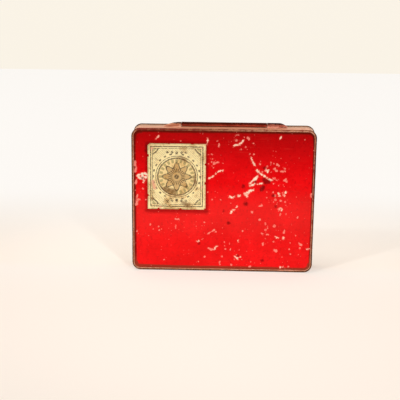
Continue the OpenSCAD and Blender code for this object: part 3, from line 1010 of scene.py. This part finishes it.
# The ornament is worked in millimetres from the label's middle. Each row is one step: its name, what
# it does, and the earlier steps and sizes it does it with. COMPARE takes a middle and a half width.
ornament = [
    ("across", "ABSOLUTE", "x"),
    ("upward", "ABSOLUTE", "z"),
    ("from_side", "SUBTRACT", label_wide / 2 / mm, "across"),
    ("from_end", "SUBTRACT", label_tall / 2 / mm, "upward"),
    ("from_edge", "MINIMUM", "from_side", "from_end"),
    ("side_squared", "POWER", "from_side", 2),
    ("end_squared", "POWER", "from_end", 2),
    ("corner_squared", "ADD", "side_squared", "end_squared"),
    ("from_corner", "SQRT", "corner_squared"),
    ("across_squared", "POWER", "across", 2),
    ("upward_squared", "POWER", "upward", 2),
    ("radius_squared", "ADD", "across_squared", "upward_squared"),
    ("radius", "SQRT", "radius_squared"),
    ("angle", "ARCTAN2", "z", "x"),
    ("petal_angle", "MULTIPLY", "angle", 8),
    ("petals", "COSINE", "petal_angle"),
    ("ray_angle", "MULTIPLY", "angle", 24),
    ("rays", "COSINE", "ray_angle"),
    ("petal_edge", "MULTIPLY_ADD", "petals", -2, "radius"),
    ("rosette", "COMPARE", "petal_edge", 9, 0.7),
    ("star_rays", "GREATER_THAN", "rays", 0),
    ("star_band", "COMPARE", "radius", 5, 1.6),
    ("star", "MULTIPLY", "star_rays", "star_band"),
    ("boss", "LESS_THAN", "radius", 1.8),
    ("ring", "COMPARE", "radius", 14.6, 0.55),
    ("thin_ring", "COMPARE", "radius", 16.2, 0.25),
    ("frame_rule", "COMPARE", "from_edge", 2.4, 0.45),
    ("thin_rule", "COMPARE", "from_edge", 3.9, 0.22),
    ("inside_rules", "GREATER_THAN", "from_edge", 3.9),
    ("fan_arc", "COMPARE", "from_corner", 9.2, 0.6),
    ("fan", "MULTIPLY", "fan_arc", "inside_rules"),
    ("fan_inside", "LESS_THAN", "from_corner", 8),
    ("fan_leaf", "MULTIPLY", "fan_inside", "inside_rules"),
    ("row_offset", "SUBTRACT", "upward", 19.2),
    ("row_away", "ABSOLUTE", "row_offset"),
    ("row_along", "PINGPONG", "x", 1.8),
    ("lozenge_away", "ADD", "row_along", "row_away"),
    ("lozenge", "LESS_THAN", "lozenge_away", 1.25),
    ("row_inside", "LESS_THAN", "across", 9),
    ("lozenges", "MULTIPLY", "lozenge", "row_inside"),
    ("bead_band", "COMPARE", "radius", 18.1, 0.6),
    ("bead_rays", "GREATER_THAN", "rays", 0.35),
    ("beads", "MULTIPLY", "bead_band", "bead_rays"),
    ("lines", "MAXIMUM", "rosette", "star"),
    ("lines", "MAXIMUM", "lines", "boss"),
    ("lines", "MAXIMUM", "lines", "ring"),
    ("lines", "MAXIMUM", "lines", "thin_ring"),
    ("lines", "MAXIMUM", "lines", "frame_rule"),
    ("lines", "MAXIMUM", "lines", "thin_rule"),
    ("lines", "MAXIMUM", "lines", "fan"),
    ("lines", "MAXIMUM", "lines", "lozenges"),
    ("lines", "MAXIMUM", "lines", "beads"),
    ("past_beads", "GREATER_THAN", "radius", 19.4),
    ("inside_frame", "GREATER_THAN", "from_edge", 4.6),
    ("field", "MULTIPLY", "past_beads", "inside_frame"),
    ("past_fan", "GREATER_THAN", "from_corner", 10.4),
    ("open_field", "MULTIPLY", "field", "past_fan"),
    ("slant", "ADD", "x", "z"),
    ("hatch_along", "PINGPONG", "slant", 0.9),
    ("hatch", "LESS_THAN", "hatch_along", 0.32),
    ("hatched", "MULTIPLY", "open_field", "hatch"),
    ("hatching", "MULTIPLY", "hatched", 0.36),
    ("ink", "MAXIMUM", "lines", "hatching"),
    ("inked", "MULTIPLY", "ink", "rubbed"),
    ("inside_ring", "LESS_THAN", "radius", 14.6),
    ("wash", "MULTIPLY", "inside_ring", 0.3),
    ("inside_petals", "LESS_THAN", "petal_edge", 8.3),
    ("petal_tint", "MULTIPLY", "inside_petals", 0.5),
    ("leaf_band", "COMPARE", "radius", 12.4, 1.3),
    ("leaf_rays", "GREATER_THAN", "rays", -0.2),
    ("leaf_ring", "MULTIPLY", "leaf_band", "leaf_rays"),
    ("leaves", "MAXIMUM", "fan_leaf", "leaf_ring"),
    ("leaf_tint", "MULTIPLY", "leaves", 0.55),
    ("fox_field", "MULTIPLY_ADD", "stain", 0.8, "ragged"),
    ("blot_field", "MULTIPLY_ADD", "stain", 5, "blot"),
    ("skinned_field", "MULTIPLY_ADD", "ragged", 5, "skinned"),
    ("edge_field", "MULTIPLY_ADD", "stain", -2.4, "from_edge")]
for name, operation, *terms in ornament:
    inputs = {number: drawn.get(term, term) for number, term in enumerate(terms)}
    drawn[name] = put(tree, "Math", {"operation": operation}, inputs)
stained = put(tree, "MapRange", soft_step, {
    "Value": stain, "From Min": 0.42, "From Max": 0.7, "To Max": 0.8})
foxed = put(tree, "MapRange", soft_step, {
    "Value": drawn["fox_field"], "From Min": 1, "From Max": 1.14, "To Max": 0.8})
blotted = put(tree, "MapRange", soft_step, {
    "Value": drawn["blot_field"], "From Min": 1.6, "From Max": 4.6, "To Max": 0.75})
skinned = put(tree, "MapRange", soft_step, {
    "Value": drawn["skinned_field"], "From Min": 2.4, "From Max": 3.6, "To Max": 0.7})
grubby = put(tree, "MapRange", soft_step, {
    "Value": drawn["edge_field"], "From Min": 0.3, "From Max": -1.5, "To Max": 0.6})
rightward = put(tree, "MapRange", soft_step, {"Value": drawn["x"], "From Min": 8, "From Max": 22})
edge_dirt = put(tree, "Mix", coat, {
    "Factor": rightward, coat_under: srgb("#6e5c2c"), coat_over: srgb("#c87c60")})
colour = lay_coats(tree, srgb("#fff2b8"), [
    (stained, srgb("#cf9a48")),
    (drawn["wash"], srgb("#e0b050")),
    (drawn["petal_tint"], srgb("#a8701c")),
    (drawn["leaf_tint"], srgb("#7c7a3c")),
    (drawn["inked"], srgb("#40280f")),
    (foxed, srgb("#5a4420")),
    (blotted, srgb("#74480f")),
    (skinned, srgb("#f0a48c")),
    (grubby, edge_dirt)])
relief = put(tree, "Bump", {}, {"Strength": 0.3, "Distance": 0.04 * mm, "Height": ragged})
tree.links.new(colour, shader.inputs["Base Color"])
tree.links.new(relief, shader.inputs["Normal"])
shader.inputs["Roughness"].default_value = 0.62
label.data.materials.append(paper)
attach(label, "lid")
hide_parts("paper_label")


# The tin stands on a plain pale table with a pale wall behind its far edge. The table is bleached by
# the room's light in front and further off, and takes the tin's two soft shadows behind it.
table_wide = 3.2
table_front = -1.4
table_back = 1.415
wall_back = 1.7
wall_high = 1.6
wall_drop = -0.5
paling_start = -0.1
paling_stop = 0.15
shadow_middle = 0.25
shadow_narrowing = 0.5
shadow_start = 0.31
shadow_stop = 0.53
front_start = 0.02
front_stop = -0.012


def pale_stage(name, near, far, near_glow, front_glow, far_glow, middle, wide, tall, turn):
    """A plain sheet that reads as its own pale colour, paler far off, with the tin's shadow near by."""
    bpy.ops.object.select_all(action="DESELECT")
    bpy.ops.mesh.primitive_plane_add(size=1, location=middle, rotation=(turn, 0, 0))
    piece = bpy.context.object
    piece.name = name
    piece.scale = (wide, tall, 1)
    bpy.ops.object.transform_apply(location=True, rotation=True, scale=True)
    finish = bpy.data.materials.new(name + "_paint")
    finish.use_nodes = True
    tree = finish.node_tree
    tree.nodes.remove(tree.nodes["Principled BSDF"])
    place = put(tree, "TexCoord", {}, {})
    away = put(tree, "SeparateXYZ", {}, {"Vector": place})["Y"]
    paling = put(tree, "MapRange", soft_step, {
        "Value": away, "From Min": paling_start, "From Max": paling_stop})
    shade = put(tree, "Mix", coat, {"Factor": paling, coat_under: srgb(near), coat_over: srgb(far)})
    matt = put(tree, "BsdfDiffuse", {}, {"Color": shade})["BSDF"]
    plain = put(tree, "Emission", {}, {"Color": shade, "Strength": 1})["Emission"]
    round_tin = put(tree, "Mapping", {}, {
        "Vector": place, "Location": (0, shadow_middle, 0), "Scale": (shadow_narrowing, 1, 0)})
    off = put(tree, "VectorMath", {"operation": "LENGTH"}, {0: round_tin})["Value"]
    glow = put(tree, "MapRange", soft_step, {
        "Value": off, "From Min": shadow_start, "From Max": shadow_stop,
        "To Min": near_glow, "To Max": far_glow})
    in_front = put(tree, "MapRange", soft_step, {
        "Value": away, "From Min": front_start, "From Max": front_stop, "To Max": front_glow})
    paleness = put(tree, "Math", larger, {0: glow, 1: in_front})
    ray = put(tree, "LightPath", {}, {})
    seen = put(tree, "Math", larger, {0: ray["Is Camera Ray"], 1: ray["Is Glossy Ray"]})
    shown = put(tree, "Math", larger, {0: seen, 1: ray["Is Transmission Ray"]})
    share = put(tree, "Math", times, {0: shown, 1: paleness})
    surface = put(tree, "MixShader", {}, {0: share, 1: matt, 2: plain})["Shader"]
    tree.links.new(surface, tree.nodes["Material Output"].inputs["Surface"])
    piece.data.materials.append(finish)


pale_stage(
    "table_top", near="#f9f0e7", far="#fffcf8", near_glow=0.28, front_glow=0.6, far_glow=0.9,
    middle=(0, (table_front + table_back) / 2, 0), wide=table_wide, tall=table_back - table_front, turn=0)
pale_stage(
    "back_wall", near="#fdf6e9", far="#fdf6e9", near_glow=0.95, front_glow=0.95, far_glow=0.95,
    middle=(0, wall_back, (wall_high + wall_drop) / 2), wide=2 * table_wide, tall=wall_high - wall_drop,
    turn=quarter_turn)


# Soft studio light: a pale room, a broad warm lamp overhead that grazes the lid, and a feathered lamp
# at each side in front, which falls off towards the hinge and throws a shadow back past the tin.
room = bpy.data.worlds.new("pale_room")
room.use_nodes = True
tree = room.node_tree
lit = tree.nodes["Background"]
lit.inputs["Color"].default_value = srgb("#fffaf4")
lit.inputs["Strength"].default_value = 0.36
pale_air = put(tree, "Background", {}, {"Color": srgb("#fdf6e9"), "Strength": 0.95})
ray = put(tree, "LightPath", {}, {})
air = put(tree, "MixShader", {}, {
    0: ray["Is Camera Ray"], 1: lit.outputs["Background"], 2: pale_air["Background"]})
tree.links.new(air["Shader"], tree.nodes["World Output"].inputs["Surface"])
bpy.context.scene.world = room


def hang_lamp(lamp, code, place, aim, power):
    """Hangs a lamp and turns it towards what it lights."""
    lamp.energy = power
    lamp.color = srgb(code)[:3]
    holder = bpy.data.objects.new(lamp.name, lamp)
    holder.location = place
    holder.rotation_euler = (Vector(aim) - Vector(place)).to_track_quat("-Z", "Y").to_euler()
    bpy.context.scene.collection.objects.link(holder)


overhead = bpy.data.lights.new("overhead_lamp", "AREA")
overhead.size = 1.25
hang_lamp(overhead, code="#ffeedd", place=(-0.18, 0.04, 2), aim=(0, 0, 0), power=21.5)
front_lamps = [("left_lamp", (-0.7, -0.68, 0.85), 15.5), ("right_lamp", (0.37, -0.91, 0.7), 16.7)]
for name, place, power in front_lamps:
    front = bpy.data.lights.new(name, "SPOT")
    front.spot_size = math.radians(24)
    front.spot_blend = 1
    front.shadow_soft_size = 0.05
    hang_lamp(front, code="#fffcfa", place=place, aim=(0, 0, -0.1), power=power)


# The camera stands where the photograph was taken from, nearly square to the lid and a little above it.
# It has a long lens. Its lens, place and turn were fitted to the tin's outline.
camera = bpy.data.cameras.new("photo_camera")
camera.sensor_width = 36
camera.lens = 81.29
camera.clip_start = 0.01
photo_camera = bpy.data.objects.new("photo_camera", camera)
photo_camera.location = (1.84 * mm, -690.15 * mm, 232.49 * mm)
photo_camera.rotation_euler = (math.radians(75.593), math.radians(-0.531), math.radians(1.789))
bpy.context.scene.collection.objects.link(photo_camera)
bpy.context.scene.camera = photo_camera
bpy.context.scene.view_settings.view_transform = "Standard"
